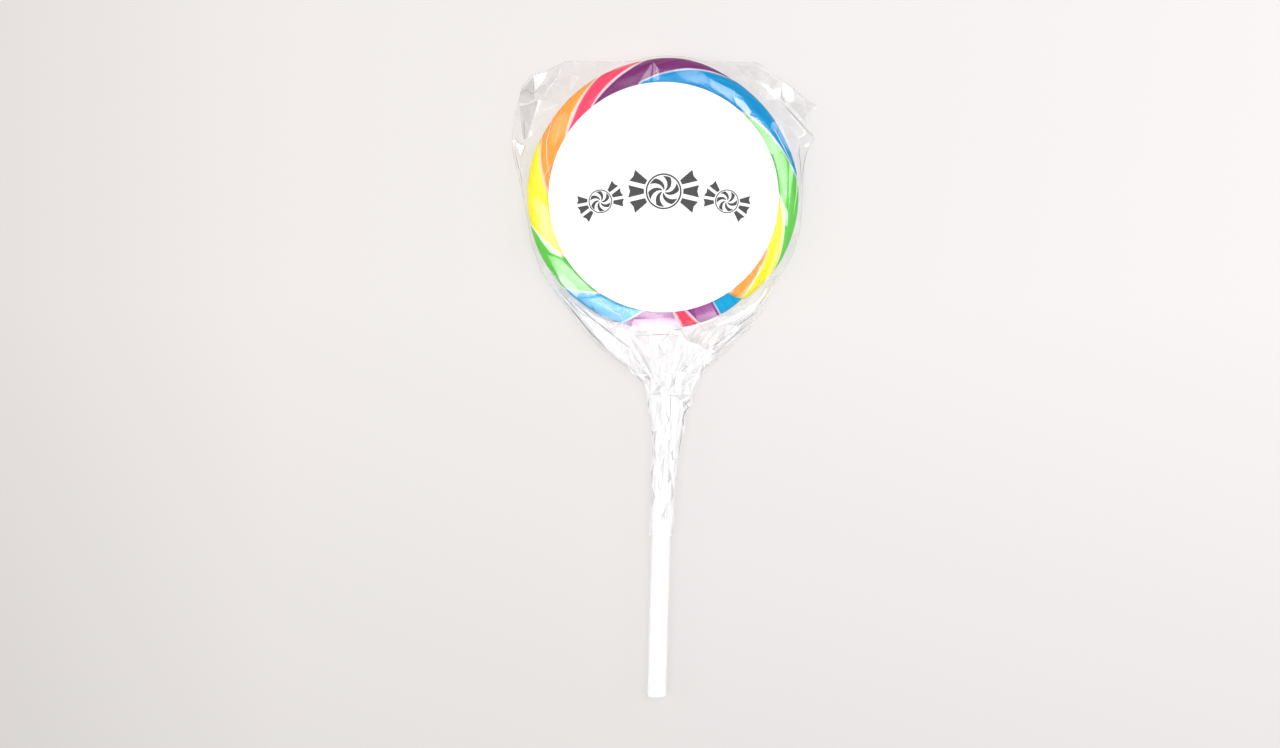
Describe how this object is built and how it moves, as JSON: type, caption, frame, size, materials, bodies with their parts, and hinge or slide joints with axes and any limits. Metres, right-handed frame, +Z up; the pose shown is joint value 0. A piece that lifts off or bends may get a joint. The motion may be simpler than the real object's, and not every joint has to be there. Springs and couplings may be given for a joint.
{
  "type": "swirl lollipop",
  "caption": "Swirl lollipop: a round candy disc coiled from one striped rope, on a straight white stick, in a clear film bag gathered at the neck with a round paper label.",
  "frame": {"origin": "centre of the candy disc, on the plane that the lollipop lies on", "axes": "+Z up out of the labelled face, +Y from the stick to the top of the disc, +X to the right seen from above"},
  "size_m": [0.0843, 0.1795, 0.0104],
  "materials": {
    "candy": "glossy hard boiled sugar, striped in red, orange, yellow, green, blue and purple with thin white lines",
    "stick": "satin white",
    "film": "clear glossy crumpled film",
    "label": "smooth white paper"
  },
  "bodies": {
    "root": {"candy_swirl": "candy", "stick": "stick", "film_bag": "film", "label": "label"}
  },
  "joints": []
}
